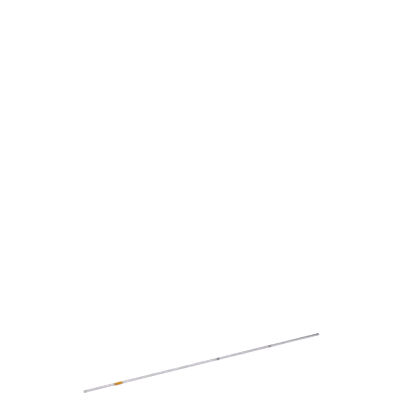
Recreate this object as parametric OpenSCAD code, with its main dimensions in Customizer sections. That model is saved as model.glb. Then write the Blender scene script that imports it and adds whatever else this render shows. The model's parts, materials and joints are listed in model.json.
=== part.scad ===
// Glass capillary tube: drawn glass with a fired colour band and two ring marks.
// It lies along X on a table at z = 0, with its filling tip towards +X and the
// middle of its length over the origin.

/* [Glass] */
// Length of the tube from end to end
tube_l = 125; // [110:1:150]
// Outer diameter of the glass
tube_d = 1.0; // [0.8:0.05:1.6]
// Diameter of the bore
bore_d = 0.47; // [0.42:0.01:0.6]
// Radius to which the flame has melted the edges of both rims
rim_r = 0.08; // [0.02:0.01:0.12]

/* [Ring marks] */
// Volume from the tip up to the first ring mark, in microlitres
first_volume = 5; // [2:0.5:6]
// Volume from the tip up to the second ring mark, in microlitres
second_volume = 10; // [8:0.5:11]
// Width of a ring mark along the tube
mark_w = 0.4; // [0.2:0.05:0.8]

/* [Colour band] */
// Bare glass between the holder's end of the tube and the colour band
band_inset = 14.7; // [8:0.1:20]
// Width of the colour band along the tube
band_w = 3.4; // [2:0.1:6]

/* [Enamel] */
// Thickness of the fired enamel on the glass
enamel_t = 0.015; // [0.01:0.005:0.03]

/* [Hidden] */
// Sides of a full circle
$fn = 96;

tube_r = tube_d / 2;
bore_r = bore_d / 2;
wall = tube_r - bore_r;
// Two rounded edges share each rim, so one of them takes less than half of the wall
most_of_wall = 0.45;
edge_r = min(rim_r, most_of_wall * wall);

// The tube lies on its enamel, which stands a little proud of the glass
axis_z = tube_r + enamel_t;
tip_x = tube_l / 2;
holder_x = -tube_l / 2;

// A cubic millimetre of bore holds one microlitre
bore_area = PI * pow(bore_r, 2);
first_mark_x = tip_x - first_volume / bore_area;
second_mark_x = tip_x - second_volume / bore_area;
band_x = holder_x + band_inset + band_w / 2;

// Turns a shape that stands on the origin along Z to lie along the tube's axis, from x onwards
module along_tube(x) {
    translate([x, 0, axis_z])
        rotate([0, 90, 0])
            children();
}

// One half of the wall cut lengthwise, with all four of its edges round
module wall_section() {
    translate([edge_r, 0])
        square([wall - 2 * edge_r, tube_l]);
    translate([0, edge_r])
        square([wall, tube_l - 2 * edge_r]);
    for (x = [edge_r, wall - edge_r], y = [edge_r, tube_l - edge_r])
        translate([x, y])
            circle(edge_r);
}

module glass_tube() {
    color("gainsboro", 0.4)
        along_tube(holder_x)
            rotate_extrude()
                translate([bore_r, 0])
                    wall_section();
}

// A ring of enamel on the outside of the glass, with its middle at x
module enamel_ring(x, width) {
    along_tube(x)
        rotate_extrude()
            translate([tube_r, -width / 2])
                square([enamel_t, width]);
}

module colour_band() {
    color("orange")
        enamel_ring(band_x, band_w);
}

module first_ring_mark() {
    color("dimgray")
        enamel_ring(first_mark_x, mark_w);
}

module second_ring_mark() {
    color("dimgray")
        enamel_ring(second_mark_x, mark_w);
}

glass_tube();
colour_band();
first_ring_mark();
second_ring_mark();
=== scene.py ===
# %% [markdown]
# # A glass capillary tube with ring marks
#
# A capillary tube for small measured volumes is a length of clear glass, drawn out hot into
# one long thin pipe and cut to length. Liquid climbs into its bore by itself, up to a ring
# mark that stands for a known volume. A coloured band near one end shows the tube's size and
# which end to hold.
#
# The solid model is loaded first, because it is the frame for all that follows. The sizes of
# the tube and its rings are read from it, so none of them is set by eye. Its box is kept, to
# be compared with at the end.

# %% Load the solid model
import json
import math

import bmesh
import bpy
from mathutils import Matrix, Vector, noise


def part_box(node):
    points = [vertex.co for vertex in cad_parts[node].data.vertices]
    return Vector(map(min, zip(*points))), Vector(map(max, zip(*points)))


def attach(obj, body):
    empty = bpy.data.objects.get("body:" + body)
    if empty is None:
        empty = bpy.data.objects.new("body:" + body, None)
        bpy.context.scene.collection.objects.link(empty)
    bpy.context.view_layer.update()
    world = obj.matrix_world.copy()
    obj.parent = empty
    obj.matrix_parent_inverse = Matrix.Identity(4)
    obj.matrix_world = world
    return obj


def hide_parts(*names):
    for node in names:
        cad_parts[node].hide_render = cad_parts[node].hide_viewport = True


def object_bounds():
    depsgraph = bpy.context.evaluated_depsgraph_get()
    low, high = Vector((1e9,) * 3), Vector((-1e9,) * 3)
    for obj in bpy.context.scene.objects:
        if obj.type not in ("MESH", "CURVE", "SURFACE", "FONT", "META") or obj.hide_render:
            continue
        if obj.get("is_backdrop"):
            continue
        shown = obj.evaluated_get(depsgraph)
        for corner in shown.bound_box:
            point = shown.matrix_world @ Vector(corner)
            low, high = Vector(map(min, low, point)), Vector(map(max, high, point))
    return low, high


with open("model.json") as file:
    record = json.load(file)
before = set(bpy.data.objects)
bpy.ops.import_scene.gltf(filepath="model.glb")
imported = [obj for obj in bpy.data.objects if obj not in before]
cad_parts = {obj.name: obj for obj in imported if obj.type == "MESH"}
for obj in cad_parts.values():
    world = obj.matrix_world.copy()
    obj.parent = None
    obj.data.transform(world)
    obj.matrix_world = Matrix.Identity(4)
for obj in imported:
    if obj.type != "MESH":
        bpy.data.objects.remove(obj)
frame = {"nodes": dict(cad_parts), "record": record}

cad_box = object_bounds()
print("nodes:", sorted(frame["nodes"]))

# %% [markdown]
# ## Sizes
# A turned part needs few sizes: the two radii of the wall, the length, and how far its rims
# are melted round. The record's mounts state the radii exactly, which is better than a
# measurement of the loaded mesh, whose flat facets lie a little inside the true circle. The
# stated wall is shorter than the tube by one rounded rim at each end, which gives the rim.
# The tube lies on its enamel, so its axis is higher than the radius of the glass by the
# enamel's thickness.

# %% Read the sizes of the tube
MM = 0.001
mounts = {mount["name"]: mount for mount in frame["record"]["mounts"]}
bore_r = mounts["tip_bore"]["dims"]["r_mm"] * MM
tube_r = mounts["holder_end"]["dims"]["r_mm"] * MM
straight_l = mounts["tip_bore"]["dims"]["length_mm"] * MM
axis_z = mounts["tip_bore"]["pos_m"][2]

glass_low, glass_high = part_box("glass_tube")
tube_l = glass_high.x - glass_low.x
tip_x = tube_l / 2
rim_r = (tube_l - straight_l) / 2
enamel_t = axis_z - tube_r
print(f"tube {tube_l / MM:.2f} mm long and {2 * tube_r / MM:.2f} mm across")
print(f"bore {2 * bore_r / MM:.2f} mm, rims {rim_r / MM:.3f} mm, enamel {enamel_t / MM:.3f} mm")

# %% [markdown]
# ## The camera
# The tube lies on a table. The camera looks at it from a little above and from the holder's
# side, so the whole length shows at a slant. A short lens close by would make the far end
# much thinner than the near one. A long lens from two thirds of a metre away keeps them
# nearly alike, which suits a thing that is so long and thin.
#
# The stand is given for a camera that looks along +Y, and the heading then turns it about
# the middle of the tube.

# %% Set up the camera
SENSOR_W = 36
LENS = 145.5
NEAREST = 0.01
FURTHEST = 20
HEADING = math.radians(-41)
LOOK_DOWN = math.radians(10.55)
STAND = Vector((-0.0035, -0.6266, 0.1830))

camera_data = bpy.data.cameras.new("camera")
camera_data.sensor_width = SENSOR_W
camera_data.lens = LENS
camera_data.clip_start = NEAREST
camera_data.clip_end = FURTHEST
camera = bpy.data.objects.new("camera", camera_data)
camera.location = Matrix.Rotation(HEADING, 3, "Z") @ STAND
camera.rotation_euler = (math.pi / 2 - LOOK_DOWN, 0, HEADING)

scene = bpy.context.scene
scene.collection.objects.link(camera)
scene.camera = camera
print(f"camera {STAND.length:.3f} m from the middle of the tube")

# %% [markdown]
# ## A turned shape
# The glass and the enamel rings are all round about one axis. Such a shape could be cut from
# a cylinder, but it is quicker to draw its section through one side of the wall and to spin
# that about the axis. The long edges of the section come back from the drawing, because the
# next steps divide them. The spin leaves a seam where it ends, so its doubles are merged
# before the faces are turned to point outwards.
#
# A second helper makes an object of a finished shape. The object stays at the origin and its
# mesh holds its place, so a pattern in a finish stays where it is on the tube.

# %% Draw a section and spin it
ROUND_STEPS = 96
SAME_PLACE = 1e-7


def draw_section(bm, x_low, x_high, r_low, r_high):
    """Draws a rectangle on one side of the axis, and returns its inner and outer long edge."""
    corners = [(x_low, r_low), (x_high, r_low), (x_high, r_high), (x_low, r_high)]
    verts = [bm.verts.new((x, 0, axis_z + r)) for x, r in corners]
    edges = [bm.edges.new((verts[i - 1], verts[i])) for i in range(4)]
    return edges[1], edges[3]


def spin_section(bm):
    """Turns what is drawn so far round the axis, into a closed shape."""
    drawn = bm.verts[:] + bm.edges[:]
    bmesh.ops.spin(bm, geom=drawn, cent=(0, 0, axis_z), axis=(1, 0, 0), angle=2 * math.pi,
                   steps=ROUND_STEPS, use_merge=True)
    bmesh.ops.remove_doubles(bm, verts=bm.verts[:], dist=SAME_PLACE)
    bmesh.ops.recalc_face_normals(bm, faces=bm.faces[:])


# %% Make an object of a finished bmesh
def piece(name, bm):
    """Makes a smooth object that sits at the origin, with its place in its mesh."""
    mesh = bpy.data.meshes.new(name)
    bm.to_mesh(mesh)
    bm.free()
    mesh.shade_smooth()
    made = bpy.data.objects.new(name, mesh)
    scene.collection.objects.link(made)
    print(f"{name}: {len(mesh.polygons)} faces")
    return made


# %% [markdown]
# ## The glass
# The tube is one length of glass with a round bore from end to end. A flame has melted both
# rims, so all four of their edges are round. The rounds could be drawn in the section, but a
# bevel after the spin gives each edge the same clean arc from one line of code. The sharp
# edges are found by the angle between their faces. Cuts along the length shorten the faces,
# which would otherwise be slivers that run from end to end.

# %% Make the glass tube
LENGTH_CUTS = 49
RIM_STEPS = 8
SHARP = math.radians(60)


def is_rim(edge):
    """True for the sharp circles at both ends of the wall."""
    at_end = all(abs(abs(vert.co.x) - tip_x) < SAME_PLACE for vert in edge.verts)
    return at_end and abs(edge.calc_face_angle()) > SHARP


def make_tube():
    """Spins the wall, then melts its rims."""
    bm = bmesh.new()
    long_edges = draw_section(bm, glass_low.x, glass_high.x, bore_r, tube_r)
    bmesh.ops.subdivide_edges(bm, edges=list(long_edges), cuts=LENGTH_CUTS)
    spin_section(bm)
    rims = [edge for edge in bm.edges if is_rim(edge)]
    bmesh.ops.bevel(bm, geom=rims, offset=rim_r, offset_type="OFFSET", affect="EDGES",
                    segments=RIM_STEPS, profile=0.5, material=-1)
    return piece("drawn_glass_tube", bm)


glass_tube = make_tube()

# %% [markdown]
# ## The enamel
# The marks and the band are glass paint, rolled on with a wheel and fired until they fuse
# with the tube. The paint thins out at its edges instead of ending square, and the edges
# waver a little where the wheel pressed more or less.
#
# A ring starts as a section too. Its long edges get a row of points, and the outer ones sink
# by a high power of the way from the middle to the ring's edge, so that the middle stays
# level. After the spin, smooth noise nudges the points near each edge along the tube. The
# inner side reaches a touch into the glass, because two faces in exactly the same place
# flicker.

# %% Thin the paint towards its edges
CROWN_CUTS = 15
THINNED = 0.9
THIN_POWER = 6


def thin_out(bm, middle, half):
    """Lowers the outer points of a ring's section towards its two edges."""
    for vert in bm.verts:
        if vert.co.z > axis_z + tube_r:
            edge_share = abs(vert.co.x - middle) / half
            vert.co.z -= THINNED * enamel_t * edge_share ** THIN_POWER


# %% Let the edges of the paint waver
WAVER_SCALE = 1.7
WAVER_POWER = 3
EDGES_APART = 3


def waver_edges(bm, middle, half, waver, seed):
    """Moves points along the tube by noise, more towards the ring's edges."""
    for vert in bm.verts:
        side = (vert.co.x - middle) / half
        around = Vector((0, vert.co.y, vert.co.z - axis_z)) / tube_r
        start = Vector((seed + EDGES_APART * math.copysign(1, side), 0, 0))
        shift = noise.noise(around * WAVER_SCALE + start)
        vert.co.x += waver * shift * side ** WAVER_POWER


# %% Make the enamel rings
BITE = 0.003 * MM
BAND_WAVER = 0.015 * MM
MARK_WAVER = 0.012 * MM


def make_ring(name, node, waver, seed):
    """Makes the ring of paint that stands for one solid ring."""
    low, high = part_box(node)
    middle = (low.x + high.x) / 2
    half = (high.x - low.x) / 2
    bm = bmesh.new()
    long_edges = draw_section(bm, low.x, high.x, tube_r - BITE, tube_r + enamel_t)
    bmesh.ops.subdivide_edges(bm, edges=list(long_edges), cuts=CROWN_CUTS)
    thin_out(bm, middle, half)
    spin_section(bm)
    waver_edges(bm, middle, half, waver, seed)
    print(f"{node}: {2 * half / MM:.2f} mm wide, {(tip_x - middle) / MM:.2f} mm from the tip")
    return piece(name, bm)


colour_ring = make_ring("orange_enamel_band", "colour_band", BAND_WAVER, seed=1)
first_mark = make_ring("first_enamel_mark", "first_ring_mark", MARK_WAVER, seed=11)
second_mark = make_ring("second_enamel_mark", "second_ring_mark", MARK_WAVER, seed=21)

# %% [markdown]
# ## Shader maths
# A finish is a small network of nodes. Its sums read better as Python expressions, so one
# class wraps a node's output and turns + and * into Math nodes. A second class holds the
# network, and its one method adds any other node. The short methods below it only save
# typing for the kinds of node that come back often.

# %% Write shader nodes as expressions
class Signal:
    """A number, colour or place that changes over the surface, from one output of a node."""

    def __init__(self, recipe, socket):
        self.recipe = recipe
        self.socket = socket

    def __add__(self, other):
        return self.recipe.maths("ADD", self, other)

    def __mul__(self, other):
        return self.recipe.maths("MULTIPLY", self, other)

    __radd__ = __add__
    __rmul__ = __mul__


# %% Hold the nodes of one finish
class Recipe:
    """The nodes of one material or of the world."""

    def __init__(self, owner):
        owner.use_nodes = True
        self.tree = owner.node_tree
        self.tree.nodes.clear()

    def node(self, kind, settings=(), sockets=(), output=0):
        """Adds a node. Its settings come first, then a value or a signal for each socket."""
        made = self.tree.nodes.new(kind)
        for name, value in dict(settings).items():
            setattr(made, name, value)
        for key, value in dict(sockets).items():
            if isinstance(value, Signal):
                self.tree.links.new(value.socket, made.inputs[key])
            else:
                made.inputs[key].default_value = value
        return Signal(self, made.outputs[output]) if made.outputs else None

    def maths(self, operation, first, second):
        """Works out a sum or a product of two numbers."""
        return self.node("ShaderNodeMath", {"operation": operation}, {0: first, 1: second})

    def mix(self, share, first, second):
        """Blends two colours, which are sockets 6 and 7 of a Mix node and its output 2."""
        return self.node("ShaderNodeMix", {"data_type": "RGBA"}, {0: share, 6: first, 7: second}, 2)

    def ramp(self, value, start, stop):
        """Rises from 0 to 1 while a number goes from start to stop."""
        return self.node("ShaderNodeMapRange", {},
                         {"Value": value, "From Min": start, "From Max": stop})

    def noise_on(self, places, scale, detail):
        """Gives smooth noise with so many waves to a metre, and so many finer layers on it."""
        return self.node("ShaderNodeTexNoise", {},
                         {"Vector": places, "Scale": scale, "Detail": detail})

    def report(self, name):
        """Prints how many nodes the finish took."""
        print(f"{name}: {len(self.tree.nodes)} nodes")


# %% [markdown]
# ## The lines in drawn glass
# Glass that is pulled out hot keeps faint lines along it, from small differences in the
# melt. They are far too fine to model, and only soften the reflections. Noise makes them: a
# Mapping node stretches it, so that one wave is centimetres long but only a fraction of a
# millimetre round the tube. After that the noise needs no scale of its own.

# %% Stretch noise along the tube
WAVES_PER_METRE = (30, 4000, 4000)
LINE_LAYERS = 3


def drawn_lines(recipe, places):
    """Gives noise that is drawn out along the tube, as the glass was."""
    stretched = recipe.node("ShaderNodeMapping", {}, {"Vector": places, "Scale": WAVES_PER_METRE})
    return recipe.noise_on(stretched, scale=1, detail=LINE_LAYERS)


# %% [markdown]
# ## The skin of the glass
# Laboratory glass is clear with a faint grey tint. Towards the tip the tint is darker, as
# painted shade. The rim at the holder's end still has some frost from the cut, which catches
# the light, and the rim of the tip has none. Two ramps along the tube find these places. The
# painted shade darkens the tint, and the frost raises the roughness and brings in a strong,
# soft coat, because a clear rim alone would look straight down into the wall and turn black.
#
# The drawn lines change the tint by a hair and feed a very shallow bump.

# %% Mix the skin of the glass
DARK_TINT = (0.80, 0.785, 0.815, 1)
LIGHT_TINT = (0.86, 0.845, 0.875, 1)
# Painted shade: the darker tint that the glass takes towards the tip.
TIP_SHADE_TINT = (0.62, 0.605, 0.63, 1)
TIP_SHADE_L = 8 * MM
GLASS_IOR = 1.47
POLISHED = 0.02
FROST_ADDS = 0.4
FROST_IOR = 3.0
FROST_BLUR = 0.3
LINE_RELIEF = 0.2
LINE_DEPTH = 0.001 * MM


def glass_skin(recipe):
    """Gives the shader that reflects and refracts light."""
    places = recipe.node("ShaderNodeTexCoord", output="Object")
    lines = drawn_lines(recipe, places)
    x_place = recipe.node("ShaderNodeSeparateXYZ", {}, {"Vector": places}, "X")
    # Painted shade: the tint darkens over the last millimetres towards the tip.
    tip_shade = recipe.ramp(x_place, tip_x - TIP_SHADE_L, tip_x - rim_r)
    frosted = recipe.ramp(x_place, rim_r - tip_x, -tip_x)
    tint = recipe.mix(tip_shade, recipe.mix(lines, DARK_TINT, LIGHT_TINT), TIP_SHADE_TINT)
    relief = recipe.node("ShaderNodeBump", {}, {
        "Height": lines, "Strength": LINE_RELIEF, "Distance": LINE_DEPTH})
    return recipe.node("ShaderNodeBsdfPrincipled", {}, {
        "Base Color": tint, "Roughness": POLISHED + FROST_ADDS * frosted, "IOR": GLASS_IOR,
        "Transmission Weight": 1, "Coat Weight": frosted, "Coat IOR": FROST_IOR,
        "Coat Roughness": FROST_BLUR, "Normal": relief})


# %% [markdown]
# ## The depth of the glass
# A tint on the skin alone greys the whole tube alike. Real glass also takes a little light
# for every millimetre that a ray spends in it, so the sides of the wall, where the way is
# long, come out darker than the middle. A Volume Absorption shader does that. Its colour
# leans to what the glass lets through, and a high density suits a wall a quarter of a
# millimetre thick.
#
# Path tracing has one weak spot here: light that goes from a lamp through glass to the floor
# has to find the lamp by chance. So rays towards lamps, and rays that left a matt surface,
# pass through a Transparent shader instead. The shadow stays light and free of grain, and
# the camera still sees true glass.

# %% Mix the glass
LET_THROUGH = (0.30, 0.26, 0.32, 1)
DENSITY = 515
CLEAR_WAY = (0.98, 0.98, 0.98, 1)


def clear_glass():
    """Joins the skin, the way through for lamps and the depth."""
    material = bpy.data.materials.new("clear_glass")
    recipe = Recipe(material)
    skin = glass_skin(recipe)
    way_through = recipe.node("ShaderNodeBsdfTransparent", {}, {"Color": CLEAR_WAY})
    to_lamp = recipe.node("ShaderNodeLightPath", output="Is Shadow Ray")
    from_floor = recipe.node("ShaderNodeLightPath", output="Is Diffuse Ray")
    surface = recipe.node("ShaderNodeMixShader", {}, {
        0: to_lamp + from_floor, 1: skin, 2: way_through})
    depth = recipe.node("ShaderNodeVolumeAbsorption", {}, {
        "Color": LET_THROUGH, "Density": DENSITY})
    recipe.node("ShaderNodeOutputMaterial", {}, {"Surface": surface, "Volume": depth})
    recipe.report(material.name)
    return material


glass = clear_glass()

# %% [markdown]
# ## The finish of the enamel
# Fired enamel is coloured glass, so full of pigment that it is opaque, with a soft gloss. It
# lies thicker in some places than in others, which shows as a slow change of shade, and its
# skin is like orange peel. Coarse noise gives the pools of paint and fine noise the peel.
#
# Light sinks in by less than a tenth of a millimetre before it comes out again. In orange
# enamel red light goes deeper than blue. Subsurface scattering does that, and makes the thin
# edges of the band glow a little.
#
# The underside of a ring can be seen through the glass, where little light finds its way. A
# lighter colour is painted there as painted light, to keep it from going black. A Mapping
# node flattens each place onto the section of the tube, so that the length of what is left
# is the distance from the axis.

# %% Mix the enamels
ENAMEL_IOR = 1.5
GLOSS = 0.1
SMOOTHEST = 0.25
ROUGHER_IN_POOLS = 0.2
GLOW_DEPTH = 0.08 * MM
POOLS_PER_METRE = 1800
PEEL_PER_METRE = 12000
PAINT_LAYERS = 2
PEEL_SHARE = 0.4
PAINT_RELIEF = 0.5
PAINT_DEPTH = 0.01 * MM


def enamel(name, thin, thick, painted_light_under, glow):
    """Mixes an enamel from its colours where it is thin and where it is thick, with painted light
    on its underside.

    The glow says how far red, green and blue light sink in, beside each other.
    """
    material = bpy.data.materials.new(name)
    recipe = Recipe(material)
    places = recipe.node("ShaderNodeTexCoord", output="Object")
    pools = recipe.noise_on(places, POOLS_PER_METRE, PAINT_LAYERS)
    peel = recipe.noise_on(places, PEEL_PER_METRE, PAINT_LAYERS)
    section = recipe.node("ShaderNodeMapping", {}, {
        "Vector": places, "Location": (0, 0, -axis_z), "Scale": (0, 1, 1)})
    radius = recipe.node("ShaderNodeVectorMath", {"operation": "LENGTH"}, {0: section}, "Value")
    # Painted light: a lighter colour on the ring's underside, where little light reaches.
    painted_light_mask = recipe.ramp(radius, tube_r, tube_r - BITE)
    shade = recipe.mix(painted_light_mask, recipe.mix(pools, thin, thick), painted_light_under)
    relief = recipe.node("ShaderNodeBump", {}, {
        "Height": pools + PEEL_SHARE * peel, "Strength": PAINT_RELIEF, "Distance": PAINT_DEPTH})
    paint = recipe.node("ShaderNodeBsdfPrincipled", {}, {
        "Base Color": shade, "Roughness": SMOOTHEST + ROUGHER_IN_POOLS * pools,
        "IOR": ENAMEL_IOR, "Specular IOR Level": GLOSS, "Normal": relief,
        "Subsurface Weight": 1, "Subsurface Radius": glow, "Subsurface Scale": GLOW_DEPTH})
    recipe.node("ShaderNodeOutputMaterial", {}, {"Surface": paint})
    recipe.report(name)
    return material


# Each underside colour is painted light.
orange = enamel("orange_enamel", thin=(0.62, 0.30, 0.006, 1), thick=(0.48, 0.19, 0.002, 1),
                painted_light_under=(0.95, 0.55, 0.06, 1), glow=(1, 0.5, 0.2))
dark = enamel("dark_enamel", thin=(0.14, 0.11, 0.135, 1), thick=(0.07, 0.05, 0.067, 1),
              painted_light_under=(0.14, 0.11, 0.135, 1), glow=(0.5, 0.5, 0.5))

# %% [markdown]
# ## Dress the model
# Each new piece stands for one solid of the model, takes the finish listed for the solid's
# material slot, and rides with the one body that the tube has.

# %% Put the pieces in place of the solids
dressing = [
    (glass_tube, "glass_tube", "clear_glass", glass),
    (colour_ring, "colour_band", "orange_enamel", orange),
    (first_mark, "first_ring_mark", "dark_enamel", dark),
    (second_mark, "second_ring_mark", "dark_enamel", dark),
]
for made, node, slot, material in dressing:
    made.data.materials.append(material)
    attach(made, "root")
    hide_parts(node)
    print(f"{made.name} stands for {node}, in {slot}")

# %% [markdown]
# ## The floor
# The tube lies on a white sheet that runs on past the view on all sides. The sheet is plain
# and matt on purpose: whatever it shows would be seen through the glass as well, and would
# take the eye from a thing only a millimetre thick.

# %% Lay the floor
FLOOR_HALF_W = 6
SHEET_WHITE = (0.96, 0.96, 0.96, 1)
SHEET_MATT = 0.9


def lay_floor():
    """Spreads a matt white sheet at the height on which the tube lies, which is zero."""
    bm = bmesh.new()
    bmesh.ops.create_grid(bm, x_segments=1, y_segments=1, size=FLOOR_HALF_W)
    floor = piece("floor", bm)
    material = bpy.data.materials.new("white_sheet")
    recipe = Recipe(material)
    sheet = recipe.node("ShaderNodeBsdfPrincipled", {}, {
        "Base Color": SHEET_WHITE, "Roughness": SHEET_MATT})
    recipe.node("ShaderNodeOutputMaterial", {}, {"Surface": sheet})
    recipe.report(material.name)
    floor.data.materials.append(material)
    floor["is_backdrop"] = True


lay_floor()

# %% [markdown]
# ## The light of the room
# The light comes evenly from all round, as in a white tent. It is just bright enough to make
# up for the light that the sheet swallows, so the lit sheet ends up fully white and meets the
# white room with no horizon.

# %% Light the room
TENT_WHITE = (1, 1, 1, 1)
ROOM_LIGHT = 1.05


def light_room():
    """Fills the world with one even white."""
    world = bpy.data.worlds.new("white_tent")
    scene.world = world
    recipe = Recipe(world)
    tent = recipe.node("ShaderNodeBackground", {}, {
        "Color": TENT_WHITE, "Strength": ROOM_LIGHT})
    recipe.node("ShaderNodeOutputWorld", {}, {"Surface": tent})
    print(f"lit sheet: {ROOM_LIGHT * SHEET_WHITE[0]:.3f} of white")


light_room()

# %% [markdown]
# ## The softbox
# Even light alone has no direction, so a softbox adds one. It hangs beyond the tip on the
# camera's side. From there it gives the tube its highlights, and the faint shadow falls
# behind the tube.

# %% Hang up the softbox
SOFTBOX_AT = Vector((0.40, -0.20, 0.46))
SOFTBOX_W = 0.30
SOFTBOX_POWER = 1.0


def hang_softbox():
    """Hangs a square lamp with its face to the middle of the tube."""
    light = bpy.data.lights.new("softbox", "AREA")
    light.shape = "SQUARE"
    light.size = SOFTBOX_W
    light.energy = SOFTBOX_POWER
    lamp = bpy.data.objects.new("softbox", light)
    lamp.visible_camera = False
    lamp.location = SOFTBOX_AT
    lamp.rotation_euler = (-SOFTBOX_AT).to_track_quat("-Z", "Y").to_euler()
    scene.collection.objects.link(lamp)
    print(f"softbox {SOFTBOX_AT.length:.2f} m away")


hang_softbox()

# %% [markdown]
# ## A dark card for the edges
# Clear glass in a white tent all but vanishes. Its edges come back when something dark
# stands just out of view, for the glass alone to show.
#
# A straight round tube turns a ray only about its own axis: at whatever angle to the axis
# the ray comes in, it leaves at the same angle, reflected or refracted. So everything that
# the camera sees in the tube lies on one cone, which opens beyond the tip. A low dark card
# across that cone draws a dark line along each side of the glass. The line grows towards the
# tip, which is nearer to the card.
#
# A gate in the card's middle, inside the cone, keeps the tube bright when someone looks
# along it. The card starts as a grid of one face and one metre each way, so that a scale
# gives it its own size. It is then turned upright and cut by three planes. The face between
# them is the gate.

# %% Cut a card with a gate
CARD_X = 0.17
CARD_W = 0.9
CARD_H = 0.13
GATE_W = 0.16
GATE_H = 0.07
HALF_METRE = 0.5
ACROSS = (0, 1, 0)
UP = (0, 0, 1)


def is_gate(face):
    """True for the part of the card that is cut out."""
    middle = face.calc_center_median()
    return abs(middle.y) < GATE_W / 2 and middle.z < GATE_H


def cut_card():
    """Makes a sheet across the tube's axis, with a gate over the floor in its middle."""
    bm = bmesh.new()
    bmesh.ops.create_grid(bm, x_segments=1, y_segments=1, size=HALF_METRE)
    bmesh.ops.scale(bm, vec=(CARD_H, CARD_W, 1), verts=bm.verts[:])
    bmesh.ops.rotate(bm, matrix=Matrix.Rotation(math.pi / 2, 3, "Y"), verts=bm.verts[:])
    bmesh.ops.translate(bm, vec=(CARD_X, 0, CARD_H / 2), verts=bm.verts[:])
    cuts = [
        ((0, GATE_W / 2, 0), ACROSS),
        ((0, -GATE_W / 2, 0), ACROSS),
        ((0, 0, GATE_H), UP),
    ]
    for place, facing in cuts:
        whole = bm.verts[:] + bm.edges[:] + bm.faces[:]
        bmesh.ops.bisect_plane(bm, geom=whole, plane_co=place, plane_no=facing)
    bmesh.ops.delete(bm, geom=[face for face in bm.faces if is_gate(face)], context="FACES")
    return bm


# %% [markdown]
# The card glows a little instead of being painted, so its shade is the same wherever the
# lamps are. Only the tube shows it, in what it reflects and refracts: the card is hidden from
# the camera and from the matt floor, and throws no shadow.

# %% Stand the card beyond the tip
CARD_SHADE = (0.1, 0.1, 0.1, 1)


def stand_card():
    """Puts the card up, for reflections and refractions alone."""
    card = piece("dark_card", cut_card())
    material = bpy.data.materials.new("dark_card")
    recipe = Recipe(material)
    shade = recipe.node("ShaderNodeEmission", {}, {"Color": CARD_SHADE})
    recipe.node("ShaderNodeOutputMaterial", {}, {"Surface": shade})
    card.data.materials.append(material)
    card.visible_camera = False
    card.visible_diffuse = False
    card.visible_shadow = False
    card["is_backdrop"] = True
    print(f"card {(CARD_X - tip_x) / MM:.0f} mm beyond the tip")


stand_card()

# %% [markdown]
# ## Finish
# The Standard view keeps white as white, where a film-like view would grey it. The box of
# the dressed tube is written beside the solid model's box, to show that the looks have not
# changed the size.

# %% Write the sizes and finish
scene.view_settings.view_transform = "Standard"
visual_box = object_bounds()
for name, box in (("solid model", cad_box), ("dressed tube", visual_box)):
    print(name, [round((high - low) / MM, 3) for low, high in zip(*box)], "mm")
